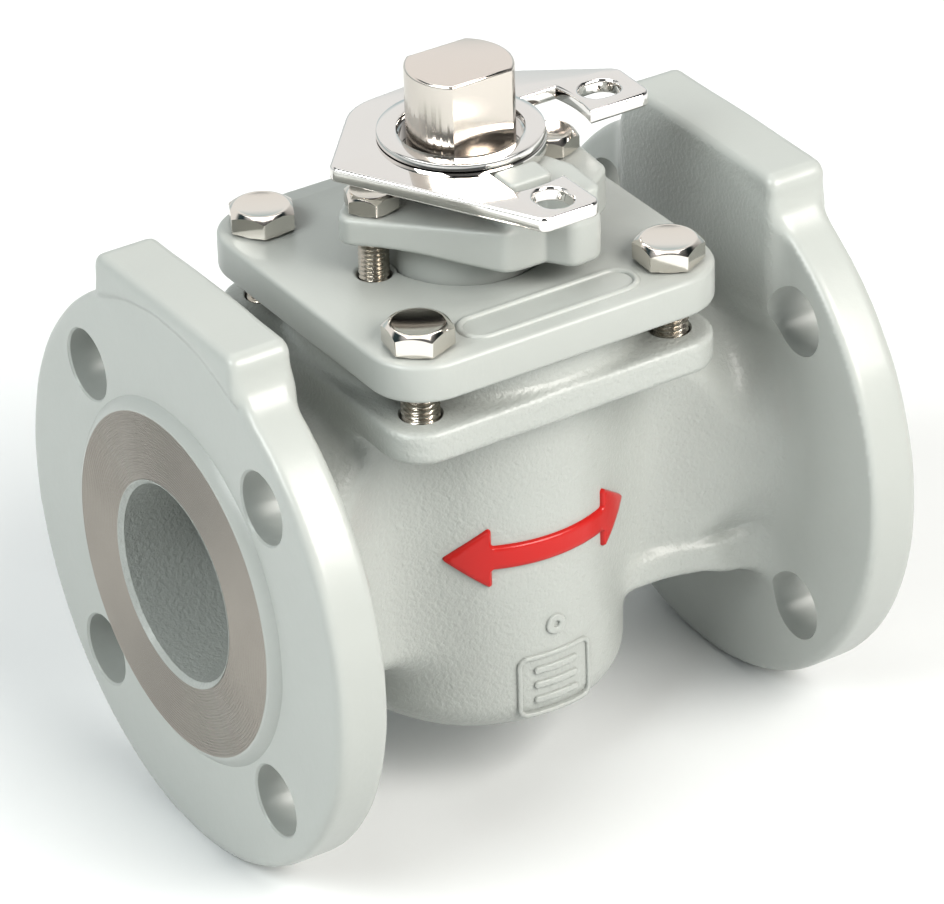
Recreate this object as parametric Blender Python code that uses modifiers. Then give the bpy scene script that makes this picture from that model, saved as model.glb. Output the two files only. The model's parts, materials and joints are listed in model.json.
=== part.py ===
"""Sleeved plug valve, DN 50 (2 in) with class 150 raised-face flanges.

Metres, +Z up.  The pipe runs along X and the plug turns about the Z axis.  The flange rims
touch z = 0, so the pipe's centre line is FLANGE_R above it.  Every piece is drawn with its
own origin on the crossing of the pipe's centre line and the plug's axis.
"""

from math import asin, atan2, cos, pi, radians, sin, sqrt, tan

import bmesh
import bpy
from mathutils import Vector

# ---- driving dimensions ----------------------------------------------------------------
GAP = 0.0003                    # room between two pieces that touch
PAST = 0.0050                   # how far a cutter reaches past the surface it cuts
FACE_X = 0.0890                 # raised face to plug axis: 178 mm face to face
FLANGE_R = 0.0762               # flange outside radius
FLANGE_T = 0.0165               # flange thickness with the raised face
RAISED_R = 0.0460               # raised face radius
RAISED_H = 0.0025
RAISED_FILLET = 0.0015          # slope from the raised face to the flange
RIM_EDGE = 0.0010
ROOT_FILLET = 0.0060            # where the neck runs into the flange
BORE_R = 0.02625
PITCH_R = 0.060325              # flange bolt circle radius
FLANGE_HOLE_R = 0.0095
LUG_HALF = 0.0340               # flat pad on top of each flange
LUG_LOW = 0.0560
LUG_TOP = 0.0800
LUG_EDGE = 0.0030
LUG_PROUD = 0.0020              # how far the pad stands behind the flange
NECK_SHAPES = (                 # distance from the axis, half width, low, high, corner
    (0.0000, 0.0240, -0.0335, 0.0430, 0.0100),
    (0.0380, 0.0240, -0.0335, 0.0430, 0.0100),
    (0.0480, 0.0260, -0.0335, 0.0400, 0.0160),
    (0.0600, 0.0310, -0.0340, 0.0352, 0.0290),
    (0.0680, 0.0350, -0.0350, 0.0350, 0.0349),
    (0.0760, 0.0365, -0.0365, 0.0365, 0.0364))
RIB_REACH = 0.0640              # mould rib along the underside of both necks
RIB_HALF = 0.0255
RIB_LOW = -0.0310
RIB_TOP = -0.0240

BARREL_R = 0.0388               # body round the plug
BARREL_BOTTOM = -0.0550
BARREL_ROUND = 0.0100
BODY_SQUARE = 0.0480            # half side of the square flange under the cap
BODY_SQUARE_LOW = 0.0412
BODY_SQUARE_TOP = 0.0500
BODY_CORNER = 0.0110
SEAT_R = 0.0450                 # round boss that the diaphragms lie on
SEAT_TOP = 0.0570

PLUG_MID_R = 0.0280             # plug radius on the pipe's centre line
PLUG_TAPER = 0.06               # radius gained per metre of height
PLUG_BOTTOM = -0.0420
PLUG_TOP = 0.0450
PLUG_HUB_R = 0.0200
PLUG_HUB_TOP = 0.0531
SLEEVE_WALL = 0.0030
SLEEVE_TOP = 0.0440
CAVITY_BOTTOM = -0.0460
CAVITY_TOP_R = 0.0350
PORT_HALF = 0.0155              # flow port through the plug: half width and half height
PORT_RISE = 0.0255
PORT_CORNER = 0.0080
PORT_EASE = 0.0008              # body port bigger than the plug's, all round
PORT_END = 0.0360               # the port becomes the round bore between these two
BORE_START = 0.0620

STEM_R = 0.0138
STEM_FLAT = 0.0107              # plug axis to each of the stem's two flats
STEM_SHOULDER = 0.0963
STEM_TOP = 0.1203
STEM_EDGE = 0.0008
STEM_CLEAR_R = 0.0142           # hole radius of the pieces round the stem

WEDGE_TOP_R = 0.0170
WEDGE_LOW_R = 0.0190
DIAPHRAGM_R = 0.0430
SOFT_DIAPHRAGM = 0.0008
METAL_DIAPHRAGM = 0.0004
CAP_HALF = 0.0495
CAP_CORNER = 0.0150             # corner radius, seen from above
CAP_EDGE = 0.0008               # rounding of the cap's edges
CAP_LOW = 0.0591
CAP_TOP = 0.0695
CAP_HOLE_R = 0.0214
CAP_BOLT_XY = 0.0370
CAP_BOLT_R = 0.0050             # M10
CAP_BOLT_ACROSS = 0.0160
CAP_BOLT_HEAD = 0.0060
CAP_BOLT_END = 0.0410

NOSE_R = 0.0210
NOSE_LOW = 0.0633
ADJUSTER_LOW = 0.0805
ADJUSTER_TOP = 0.0880
LOBE_R = 0.0076
BLOCK_LOW = 0.0765
BLOCK_TOP = 0.0962
ADJUSTER_BOLT_AT = 0.0266       # plug axis to each adjuster bolt
ADJUSTER_BOLT_R = 0.0040        # M8
ADJUSTER_BOLT_ACROSS = 0.0127
ADJUSTER_BOLT_HEAD = 0.0050
ADJUSTER_BOLT_END = 0.0615

COLLAR_LOW = 0.0966
COLLAR_TOP = 0.1006
EAR_REACH = 0.0500              # plug axis to the end of each ear
EAR_INNER = 0.0090              # half width of an ear, on the notch side
NOTCH_HUB_R = 0.0216            # notch that the stop lug works in
NOTCH_R = 0.0340
NOTCH_OPEN = 0.0055             # notch wall that meets the lug when the valve is open
NOTCH_SHUT = 0.0075             # notch wall that meets it when the valve is shut
EYE_AT = 0.0415                 # slotted eye in each ear
EYE_HALF = 0.0045
EYE_EXTRA = 0.0010
RING_R = 0.0212                 # retainer on top of the collar
RING_HOLE_R = 0.0160
RING_TOP = 0.1026
SPRING_R = 0.0165               # grounding spring round the stem
SPRING_TOP = 0.0898

ROUND = 48                      # facets round a large turned piece
SMALL_ROUND = 28


# ---- scene helpers ---------------------------------------------------------------------
def clear_scene():
    for item in list(bpy.data.objects):
        bpy.data.objects.remove(item, do_unlink=True)


def make_collection(name):
    collection = bpy.data.collections.new(name)
    bpy.context.scene.collection.children.link(collection)
    return collection


def make_material(name, colour, roughness, metallic):
    material = bpy.data.materials.new(name)
    material.use_nodes = True
    shader = material.node_tree.nodes["Principled BSDF"]
    shader.inputs["Base Color"].default_value = (*colour, 1.0)
    shader.inputs["Roughness"].default_value = roughness
    shader.inputs["Metallic"].default_value = metallic
    return material


def place(name, mesh, as_cutter):
    """Put a mesh in the model, or among the hidden cutters and blanks."""
    piece = bpy.data.objects.new(name, mesh)
    (CUTTERS if as_cutter else MODEL).objects.link(piece)
    piece.parent = CENTRE
    if as_cutter:
        piece.hide_render = True
        piece.display_type = "WIRE"
    return piece


def cut(piece, *others, operation="DIFFERENCE"):
    for other in others:
        boolean = piece.modifiers.new(other.name, "BOOLEAN")
        boolean.operation = operation
        boolean.object = other
        boolean.solver = "EXACT"


def join(piece, *others):
    cut(piece, *others, operation="UNION")


def finish(piece, material):
    """Give a piece its material, and smooth shading on its round faces."""
    piece.data.materials.append(material)
    piece.data.shade_smooth()
    piece.data.set_sharp_from_angle(angle=radians(28))


# ---- shape helpers ---------------------------------------------------------------------
def arc(centre_x, centre_y, radius, start, end, steps):
    """Points on an arc, angles in degrees, both ends included."""
    turns = [radians(start + (end - start) * i / steps) for i in range(steps + 1)]
    return [(centre_x + radius * cos(a), centre_y + radius * sin(a)) for a in turns]


def rounded(corners, steps=6):
    """Outline through (x, y, radius) corners, each corner rounded to its radius."""
    outline = []
    for i, (x, y, radius) in enumerate(corners):
        here = Vector((x, y))
        before = (Vector(corners[i - 1][:2]) - here).normalized()
        after = (Vector(corners[(i + 1) % len(corners)][:2]) - here).normalized()
        if radius == 0:
            outline.append((x, y))
            continue
        half = before.angle(after) / 2
        middle = here + (before + after).normalized() * (radius / sin(half))
        first = here + before * (radius / tan(half)) - middle
        last = here + after * (radius / tan(half)) - middle
        begin = atan2(first.y, first.x)
        sweep = (atan2(last.y, last.x) - begin + pi) % (2 * pi) - pi
        for k in range(steps + 1):
            angle = begin + sweep * k / steps
            outline.append((middle.x + radius * cos(angle), middle.y + radius * sin(angle)))
    return outline


def rounded_box_outline(half_x, low_y, high_y, corner, steps=6):
    corners = [(half_x, low_y, corner), (half_x, high_y, corner),
               (-half_x, high_y, corner), (-half_x, low_y, corner)]
    return rounded(corners, steps)


def weld(mesh):
    shape = bmesh.new()
    shape.from_mesh(mesh)
    bmesh.ops.remove_doubles(shape, verts=shape.verts, dist=0.000001)
    bmesh.ops.recalc_face_normals(shape, faces=shape.faces)
    shape.to_mesh(mesh)
    shape.free()


def plate(name, outline, low, high, as_cutter=False):
    """Flat piece: a 2D curve extruded from z = low to z = high, made a mesh."""
    curve = bpy.data.curves.new(name + "_outline", "CURVE")
    curve.dimensions = "2D"
    curve.fill_mode = "BOTH"
    curve.extrude = (high - low) / 2
    spline = curve.splines.new("POLY")
    spline.points.add(len(outline) - 1)
    for point, (x, y) in zip(spline.points, outline):
        point.co = (x, y, 0, 1)
    spline.use_cyclic_u = True
    drawn = bpy.data.objects.new(name + "_outline", curve)
    MODEL.objects.link(drawn)
    bpy.context.view_layer.update()
    evaluated = drawn.evaluated_get(bpy.context.evaluated_depsgraph_get())
    mesh = bpy.data.meshes.new_from_object(evaluated)
    bpy.data.objects.remove(drawn, do_unlink=True)
    bpy.data.curves.remove(curve)
    for vertex in mesh.vertices:
        vertex.co.z += (low + high) / 2
    weld(mesh)
    mesh.name = name
    return place(name, mesh, as_cutter)


def turned(name, profile, steps=ROUND, closed=False, side=0, as_cutter=False):
    """Solid of revolution of (radius, height) points, drawn down the outer side.

    side = 0 turns about Z; side = 1 or -1 lays the height along +X or -X.
    """
    mesh = bpy.data.meshes.new(name)
    count = len(profile)
    edges = [(i, i + 1) for i in range(count - 1)]
    if closed:
        edges.append((count - 1, 0))
    mesh.from_pydata([(radius, 0, height) for radius, height in profile], edges, [])
    piece = place(name, mesh, as_cutter)
    screw = piece.modifiers.new("turn", "SCREW")
    screw.steps = steps
    screw.render_steps = steps
    screw.use_merge_vertices = True
    screw.merge_threshold = 0.00001
    piece.rotation_euler = (0, side * pi / 2, 0)
    return piece


def rod(name, radius, low, high, at=(0, 0), steps=SMALL_ROUND, side=0, as_cutter=True):
    """Plain round bar along Z, or along +X or -X, at (x, y) or at (y, z)."""
    shape = bmesh.new()
    bmesh.ops.create_cone(shape, cap_ends=True, segments=steps, radius1=radius,
                          radius2=radius, depth=high - low)
    bmesh.ops.translate(shape, verts=shape.verts, vec=(0, 0, (low + high) / 2))
    mesh = bpy.data.meshes.new(name)
    shape.to_mesh(mesh)
    shape.free()
    piece = place(name, mesh, as_cutter)
    piece.rotation_euler = (0, side * pi / 2, 0)
    piece.location = (0, at[0], at[1]) if side else (at[0], at[1], 0)
    return piece


def block(name, low, high, bevel=0, as_cutter=True):
    """Box between two corners, its edges rounded."""
    shape = bmesh.new()
    bmesh.ops.create_cube(shape, size=1)
    size = Vector(high) - Vector(low)
    bmesh.ops.scale(shape, verts=shape.verts, vec=size)
    bmesh.ops.translate(shape, verts=shape.verts, vec=(Vector(low) + Vector(high)) / 2)
    mesh = bpy.data.meshes.new(name)
    shape.to_mesh(mesh)
    shape.free()
    piece = place(name, mesh, as_cutter)
    if bevel:
        edge = piece.modifiers.new("round", "BEVEL")
        edge.width = bevel
        edge.segments = 3
        edge.limit_method = "ANGLE"
    return piece


def loft(name, sections, as_cutter=True):
    """Skin between (x, outline) sections, each outline with the same number of points."""
    shape = bmesh.new()
    rings = []
    for x, outline in sections:
        rings.append([shape.verts.new((x, y, z)) for y, z in outline])
    for near, far in zip(rings, rings[1:]):
        for i in range(len(near)):
            k = (i + 1) % len(near)
            shape.faces.new((near[i], near[k], far[k], far[i]))
    shape.faces.new(rings[0])
    shape.faces.new(rings[-1])
    bmesh.ops.recalc_face_normals(shape, faces=shape.faces)
    mesh = bpy.data.meshes.new(name)
    shape.to_mesh(mesh)
    shape.free()
    return place(name, mesh, as_cutter)


def quarter_points(radius, count, start=45):
    """Points on a circle, evenly spaced from a start angle in degrees."""
    turns = [radians(start + 360 * i / count) for i in range(count)]
    return [(radius * cos(a), radius * sin(a)) for a in turns]


def plug_radius(height):
    return PLUG_MID_R + PLUG_TAPER * height


# ---- body ------------------------------------------------------------------------------
def neck_section(half_width, low, high, corner):
    """Neck cross-section in (y, z)."""
    return rounded_box_outline(half_width, low, high, corner, steps=7)


def add_flange(body, side):
    """Raised-face flange with its neck and its flat-topped lug, on one end."""
    inner = FACE_X - FLANGE_T
    front = FACE_X - RAISED_H
    root = NECK_SHAPES[-1][1]
    rim = [(0, FACE_X), (RAISED_R, FACE_X), (RAISED_R + RAISED_FILLET, front),
           (FLANGE_R - RIM_EDGE, front), (FLANGE_R, front - RIM_EDGE),
           (FLANGE_R, inner + RIM_EDGE), (FLANGE_R - RIM_EDGE, inner),
           (root + ROOT_FILLET, inner), (root + ROOT_FILLET / 3, inner - ROOT_FILLET / 3),
           (root, inner - ROOT_FILLET), (0, inner - ROOT_FILLET)]
    flange = turned(f"flange_{side}", rim, side=side, as_cutter=True)
    ends = sorted((side * (inner - LUG_PROUD), side * front))
    lug = block(f"lug_{side}", (ends[0], -LUG_HALF, LUG_LOW), (ends[1], LUG_HALF, LUG_TOP),
                LUG_EDGE)
    neck = loft(f"neck_{side}", [(side * x, neck_section(*rest)) for x, *rest in NECK_SHAPES])
    join(body, flange, lug, neck)


def cut_flange_holes(body, side):
    for i, (y, z) in enumerate(quarter_points(PITCH_R, 4)):
        inner = FACE_X - FLANGE_T - ROOT_FILLET - PAST
        cut(body, rod(f"stud_hole_{side}_{i}", FLANGE_HOLE_R, inner, FACE_X + PAST,
                      at=(y, z), side=side))


def cut_flow_bore(body):
    """Round at the flange faces, narrowing to a tall port where it meets the sleeve."""
    round_end = neck_section(BORE_R, -BORE_R, BORE_R, BORE_R - 0.00001)
    rise = PORT_RISE + PORT_EASE
    port = neck_section(PORT_HALF + PORT_EASE, -rise, rise, PORT_CORNER)
    for side in (1, -1):
        sections = [(side * PLUG_HUB_R, port), (side * PORT_END, port),
                    (side * BORE_START, round_end), (side * (FACE_X + PAST), round_end)]
        cut(body, loft(f"flow_bore_{side}", sections))


def make_body():
    start = BARREL_BOTTOM + BARREL_ROUND
    corner = arc(BARREL_R - BARREL_ROUND, start, BARREL_ROUND, 0, -90, 5)
    top = (BODY_SQUARE_LOW + BODY_SQUARE_TOP) / 2
    barrel = [(0, top), (BARREL_R, top)]
    body = turned("body", barrel + corner + [(0, BARREL_BOTTOM)])
    for side in (1, -1):
        add_flange(body, side)
    square = rounded_box_outline(BODY_SQUARE, -BODY_SQUARE, BODY_SQUARE, BODY_CORNER)
    join(body, plate("cap_flange", square, BODY_SQUARE_LOW, BODY_SQUARE_TOP, as_cutter=True))
    join(body, rod("seat_boss", SEAT_R, top - BARREL_ROUND, SEAT_TOP, steps=ROUND))
    join(body, block("mould_rib", (-RIB_REACH, -RIB_HALF, RIB_LOW),
                     (RIB_REACH, RIB_HALF, RIB_TOP), LUG_EDGE))
    margin = SLEEVE_WALL + 2 * GAP
    ledge = SLEEVE_TOP + 2 * GAP
    cavity = [(0, SEAT_TOP + PAST), (CAVITY_TOP_R, SEAT_TOP + PAST), (CAVITY_TOP_R, ledge),
              (plug_radius(SLEEVE_TOP) + margin, ledge),
              (plug_radius(CAVITY_BOTTOM) + margin, CAVITY_BOTTOM), (0, CAVITY_BOTTOM)]
    cut(body, turned("cavity", cavity, as_cutter=True))
    cut_flow_bore(body)
    for side in (1, -1):
        cut_flange_holes(body, side)
    for i, at in enumerate(quarter_points(CAP_BOLT_XY * sqrt(2), 4)):
        cut(body, rod(f"cap_thread_{i}", CAP_BOLT_R + GAP, CAP_BOLT_END - PAST, CAP_TOP, at=at))
    return body


# ---- pieces inside the body ------------------------------------------------------------
def make_port_cutter(name, clearance):
    section = neck_section(PORT_HALF + clearance, -PORT_RISE - clearance,
                           PORT_RISE + clearance, PORT_CORNER)
    return loft(name, [(-PLUG_MID_R - PAST, section), (PLUG_MID_R + PAST, section)])


def make_plug():
    """Tapered plug with its port, and the double-flat stem that is part of it."""
    profile = [(0, STEM_TOP), (STEM_R - STEM_EDGE, STEM_TOP), (STEM_R, STEM_TOP - STEM_EDGE),
               (STEM_R, PLUG_HUB_TOP), (PLUG_HUB_R, PLUG_HUB_TOP), (PLUG_HUB_R, PLUG_TOP),
               (plug_radius(PLUG_TOP), PLUG_TOP), (plug_radius(PLUG_BOTTOM), PLUG_BOTTOM),
               (0, PLUG_BOTTOM)]
    plug = turned("plug", profile)
    cut(plug, make_port_cutter("plug_port", 0))
    for side in (1, -1):
        ends = sorted((side * STEM_FLAT, side * PLUG_HUB_R))
        cut(plug, block(f"stem_flat_{side}", (-PLUG_HUB_R, ends[0], STEM_SHOULDER),
                        (PLUG_HUB_R, ends[1], STEM_TOP + PAST)))
    return plug


def ring_profile(inner, outer, low, high):
    return [(outer, high), (outer, low), (inner, low), (inner, high)]


def make_sleeve():
    profile = [(plug_radius(z) + GAP + wall, z) for wall, z in
               ((SLEEVE_WALL, SLEEVE_TOP), (SLEEVE_WALL, PLUG_BOTTOM), (0, PLUG_BOTTOM), (0, SLEEVE_TOP))]
    sleeve = turned("sleeve", profile, closed=True)
    cut(sleeve, make_port_cutter("sleeve_ports", PORT_EASE / 2))
    return sleeve


def make_stem_seals():
    """Wedge ring, the two clamped diaphragms and the thrust collar above them."""
    soft_low = SEAT_TOP + GAP
    metal_low = soft_low + SOFT_DIAPHRAGM + GAP
    wedge_low = PLUG_HUB_TOP + GAP
    wedge = [(WEDGE_TOP_R, SEAT_TOP), (WEDGE_LOW_R, wedge_low), (STEM_CLEAR_R, wedge_low),
             (STEM_CLEAR_R, SEAT_TOP)]
    soft = ring_profile(STEM_CLEAR_R, DIAPHRAGM_R, soft_low, soft_low + SOFT_DIAPHRAGM)
    metal = ring_profile(STEM_CLEAR_R, DIAPHRAGM_R, metal_low, metal_low + METAL_DIAPHRAGM)
    thrust = ring_profile(STEM_CLEAR_R, NOSE_R, CAP_LOW, NOSE_LOW - GAP)
    return (turned("wedge_ring", wedge, closed=True),
            turned("ptfe_diaphragm", soft, closed=True),
            turned("metal_diaphragm", metal, closed=True),
            turned("thrust_collar", thrust, closed=True))


# ---- cap and adjuster ------------------------------------------------------------------
def adjuster_bolt_places():
    return ((-ADJUSTER_BOLT_AT, 0), (ADJUSTER_BOLT_AT, 0), (0, ADJUSTER_BOLT_AT))


def make_top_cap():
    outline = rounded_box_outline(CAP_HALF, -CAP_HALF, CAP_HALF, CAP_CORNER)
    cap = plate("top_cap", outline, CAP_LOW, CAP_TOP)
    edge = cap.modifiers.new("round", "BEVEL")
    edge.width = CAP_EDGE
    edge.segments = 2
    edge.limit_method = "ANGLE"
    edge.angle_limit = radians(60)
    ends = (CAP_LOW - PAST, CAP_TOP + PAST)
    cut(cap, rod("cap_bore", CAP_HOLE_R, *ends, steps=ROUND))
    for i, at in enumerate(quarter_points(CAP_BOLT_XY * sqrt(2), 4)):
        cut(cap, rod(f"cap_hole_{i}", CAP_BOLT_R + 2 * GAP, *ends, at=at))
    for i, at in enumerate(adjuster_bolt_places()):
        cut(cap, rod(f"adjuster_thread_{i}", ADJUSTER_BOLT_R + GAP, ADJUSTER_BOLT_END - GAP,
                     ends[1], at=at))
    return cap


def make_adjuster():
    """Lobed plate with its round nose, and the block that carries the stop lug."""
    reach = ADJUSTER_BOLT_AT + LOBE_R * sqrt(2)
    front = [(-0.0065, -0.0307, 0.0020), (0.0060, -0.0307, 0.0020),
             (0.0110, -0.0372, 0.0050), (0.0205, -0.0345, 0.0050)]
    outline = rounded([(-reach, 0, LOBE_R), *front, (0.0365, -0.0170, 0.0050),
                       (0.0365, 0.0030, 0.0050), (0, reach, LOBE_R)])
    adjuster = plate("adjuster", outline, ADJUSTER_LOW, ADJUSTER_TOP)
    raised = rounded([(-0.0065, -0.0220, 0.0010), *front, (0.0235, -0.0245, 0.0030),
                      (0.0200, -0.0170, 0.0010)])
    join(adjuster, plate("stop_block", raised, BLOCK_LOW, BLOCK_TOP, as_cutter=True))
    lug_low = -NOTCH_OPEN + GAP
    lug_high = NOTCH_SHUT - GAP
    lug = rounded([(lug_low, -0.0222, 0.0006), (lug_low, -0.0307, 0.0015),
                   (lug_high, -0.0307, 0.0015), (lug_high, -0.0222, 0.0006)], steps=3)
    join(adjuster, plate("stop_lug", lug, BLOCK_TOP - GAP, COLLAR_TOP, as_cutter=True))
    join(adjuster, rod("nose", NOSE_R, NOSE_LOW, (ADJUSTER_LOW + ADJUSTER_TOP) / 2, steps=ROUND))
    cut(adjuster, rod("stem_hole", STEM_CLEAR_R, NOSE_LOW - PAST, COLLAR_TOP, steps=ROUND))
    for i, at in enumerate(adjuster_bolt_places()):
        cut(adjuster, rod(f"adjuster_hole_{i}", ADJUSTER_BOLT_R + GAP, CAP_TOP, COLLAR_TOP, at=at))
    return adjuster


# ---- stop collar on the stem -----------------------------------------------------------
def wall_angle(offset, radius):
    """Angle in degrees at which a line this far from the axis meets a circle."""
    return asin(offset / radius) * 180 / pi


def make_stop_collar():
    """Collar on the stem's flats, with a quarter-turn notch and two slotted ears."""
    ear = EAR_INNER
    outline = rounded([(-0.0365, 0.0035, 0.0030), (-0.0080, -EAR_REACH, 0.0030),
                       (ear, -EAR_REACH, 0.0030), (ear, -0.0200, 0.0), (0.0200, -ear, 0.0),
                       (EAR_REACH + 0.0015, -ear, 0.0030), (EAR_REACH + 0.0020, 0.0070, 0.0040),
                       (0.0140, 0.0310, 0.0200), (-0.0150, 0.0285, 0.0160)])
    collar = plate("stop_collar", outline, COLLAR_LOW, COLLAR_TOP)
    ends = (COLLAR_LOW - PAST, COLLAR_TOP + PAST)
    walls = [(-90 - wall_angle(NOTCH_OPEN, radius), wall_angle(NOTCH_SHUT, radius))
             for radius in (NOTCH_R, NOTCH_HUB_R)]
    notch = arc(0, 0, NOTCH_R, walls[0][0], walls[0][1], 20)
    notch += arc(0, 0, NOTCH_HUB_R, walls[1][1], walls[1][0], 20)
    cut(collar, plate("stop_notch", notch, *ends, as_cutter=True))
    flat = wall_angle(STEM_FLAT + GAP, STEM_R + GAP)
    hole = arc(0, 0, STEM_R + GAP, -flat, flat, 10)
    hole += arc(0, 0, STEM_R + GAP, 180 - flat, 180 + flat, 10)
    cut(collar, plate("double_flat_hole", hole, *ends, as_cutter=True))
    for i, turn in enumerate((-90, 0)):
        along = Vector((cos(radians(turn)), sin(radians(turn))))
        far, near = along * (EYE_AT + EYE_EXTRA), along * (EYE_AT - EYE_EXTRA)
        eye = arc(*far, EYE_HALF, turn - 90, turn + 90, 8)
        eye += arc(*near, EYE_HALF, turn + 90, turn + 270, 8)
        cut(collar, plate(f"eye_{i}", eye, *ends, as_cutter=True))
    return collar


def make_collar_rings():
    retainer = ring_profile(RING_HOLE_R, RING_R, COLLAR_TOP + GAP, RING_TOP)
    spring = ring_profile(STEM_CLEAR_R, SPRING_R, ADJUSTER_TOP + GAP, SPRING_TOP)
    return (turned("stop_collar_retainer", retainer, closed=True),
            turned("grounding_spring", spring, closed=True))


# ---- bolts -----------------------------------------------------------------------------
def make_bolt(name, at, radius, across, head, seat, end):
    """Hex bolt: the head stands on z = seat and the shank reaches down to z = end."""
    shape = bmesh.new()
    corner = across / sqrt(3)
    bmesh.ops.create_cone(shape, cap_ends=True, segments=6, radius1=corner, radius2=corner,
                          depth=head)
    bmesh.ops.translate(shape, verts=shape.verts, vec=(0, 0, seat + head / 2))
    mesh = bpy.data.meshes.new(name)
    shape.to_mesh(mesh)
    shape.free()
    bolt = place(name, mesh, as_cutter=False)
    bolt.location = (at[0], at[1], 0)
    join(bolt, rod(name + "_shank", radius, end, seat + head / 2, at=at))
    return bolt


def make_bolts():
    cap_bolts = [make_bolt(f"cap_bolt_{i + 1}", at, CAP_BOLT_R, CAP_BOLT_ACROSS, CAP_BOLT_HEAD,
                           CAP_TOP + GAP, CAP_BOLT_END)
                 for i, at in enumerate(quarter_points(CAP_BOLT_XY * sqrt(2), 4))]
    adjuster_bolts = [make_bolt(f"adjuster_bolt_{i + 1}", at, ADJUSTER_BOLT_R,
                                ADJUSTER_BOLT_ACROSS, ADJUSTER_BOLT_HEAD, ADJUSTER_TOP + GAP,
                                ADJUSTER_BOLT_END)
                      for i, at in enumerate(adjuster_bolt_places())]
    return cap_bolts, adjuster_bolts


# ---- assembly --------------------------------------------------------------------------
clear_scene()
MODEL = make_collection("plug_valve")
CUTTERS = make_collection("cutters")
CENTRE = bpy.data.objects.new("pipe_centre", None)
CENTRE.location = (0, 0, FLANGE_R)
MODEL.objects.link(CENTRE)

GREY_PAINT = make_material("grey_paint", (0.62, 0.63, 0.60), 0.45, 0.0)
POLISHED = make_material("polished_stainless", (0.80, 0.78, 0.75), 0.12, 1.0)
ALLOY = make_material("plug_alloy", (0.70, 0.69, 0.67), 0.25, 1.0)
BOLT_STEEL = make_material("bolt_steel", (0.66, 0.64, 0.60), 0.30, 1.0)
PTFE = make_material("ptfe", (0.90, 0.90, 0.88), 0.50, 0.0)
SPRING_STEEL = make_material("spring_steel", (0.55, 0.55, 0.55), 0.30, 1.0)

finish(make_body(), GREY_PAINT)
finish(make_plug(), POLISHED)
finish(make_sleeve(), PTFE)
wedge_ring, ptfe_diaphragm, metal_diaphragm, thrust_collar = make_stem_seals()
finish(wedge_ring, PTFE)
finish(ptfe_diaphragm, PTFE)
finish(metal_diaphragm, SPRING_STEEL)
finish(thrust_collar, ALLOY)
finish(make_top_cap(), GREY_PAINT)
finish(make_adjuster(), GREY_PAINT)
finish(make_stop_collar(), POLISHED)
retainer_ring, ground_spring = make_collar_rings()
finish(retainer_ring, POLISHED)
finish(ground_spring, SPRING_STEEL)
for group in make_bolts():
    for bolt_piece in group:
        finish(bolt_piece, BOLT_STEEL)
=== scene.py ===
"""Looks of a DN 50 sleeved plug valve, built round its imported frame.

Metres, +Z up.  Pieces are drawn from the crossing of the pipe's centre line (X) and the plug's
axis (Z), which lies AXIS_Z above the floor.  The painted castings are solids of blended
distance fields, so that they get the soft fillets of a casting, and are then machined with
Booleans.  Polished and turned pieces are curves with rounded edges and turned profiles.
"""
import json
from math import asin, atan2, cos, hypot, pi, radians, sin, sqrt, tan

import bmesh
import bpy
import numpy as np
from mathutils import Matrix, Vector, noise
from mathutils.geometry import delaunay_2d_cdt


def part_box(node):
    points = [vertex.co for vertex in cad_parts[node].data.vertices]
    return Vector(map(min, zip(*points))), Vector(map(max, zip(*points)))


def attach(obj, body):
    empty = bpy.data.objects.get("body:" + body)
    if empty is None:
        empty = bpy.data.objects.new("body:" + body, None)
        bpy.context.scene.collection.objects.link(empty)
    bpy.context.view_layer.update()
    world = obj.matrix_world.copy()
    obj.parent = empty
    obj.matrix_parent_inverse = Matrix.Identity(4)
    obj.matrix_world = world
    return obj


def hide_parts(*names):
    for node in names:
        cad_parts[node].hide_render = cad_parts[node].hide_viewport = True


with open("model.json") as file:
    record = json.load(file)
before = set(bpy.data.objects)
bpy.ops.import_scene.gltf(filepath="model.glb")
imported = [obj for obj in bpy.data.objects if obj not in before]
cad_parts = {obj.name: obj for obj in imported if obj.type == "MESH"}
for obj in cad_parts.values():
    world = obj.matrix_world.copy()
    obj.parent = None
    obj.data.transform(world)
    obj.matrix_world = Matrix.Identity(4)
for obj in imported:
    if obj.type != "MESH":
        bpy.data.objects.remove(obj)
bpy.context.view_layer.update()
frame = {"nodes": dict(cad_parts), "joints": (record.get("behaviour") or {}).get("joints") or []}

# ---- sizes read from the frame ---------------------------------------------------------
AXIS_Z = frame["joints"][0]["pos_m"][2]
CENTRE = Vector((0, 0, AXIS_Z))


def reach(node):
    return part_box(node)[1][0]


def bottom(node):
    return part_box(node)[0][2] - AXIS_Z


def top(node):
    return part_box(node)[1][2] - AXIS_Z


FACE_X = reach("body")
FLANGE_R = AXIS_Z
LUG_TOP = top("body")
BARREL_BOTTOM = -0.0550
CAP_HALF = reach("top_cap")
CAP_LOW, CAP_TOP = bottom("top_cap"), top("top_cap")
STEM_TOP = top("plug")
COLLAR_LOW, COLLAR_TOP = bottom("stop_collar"), top("stop_collar")
RING_R, RING_TOP = reach("stop_collar_retainer"), top("stop_collar_retainer")
NOSE_LOW = bottom("adjuster")
SEAT_TOP = bottom("ptfe_diaphragm") - 0.0003
PLUG_BOTTOM = bottom("plug")
CAVITY_R = 0.0350

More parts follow.
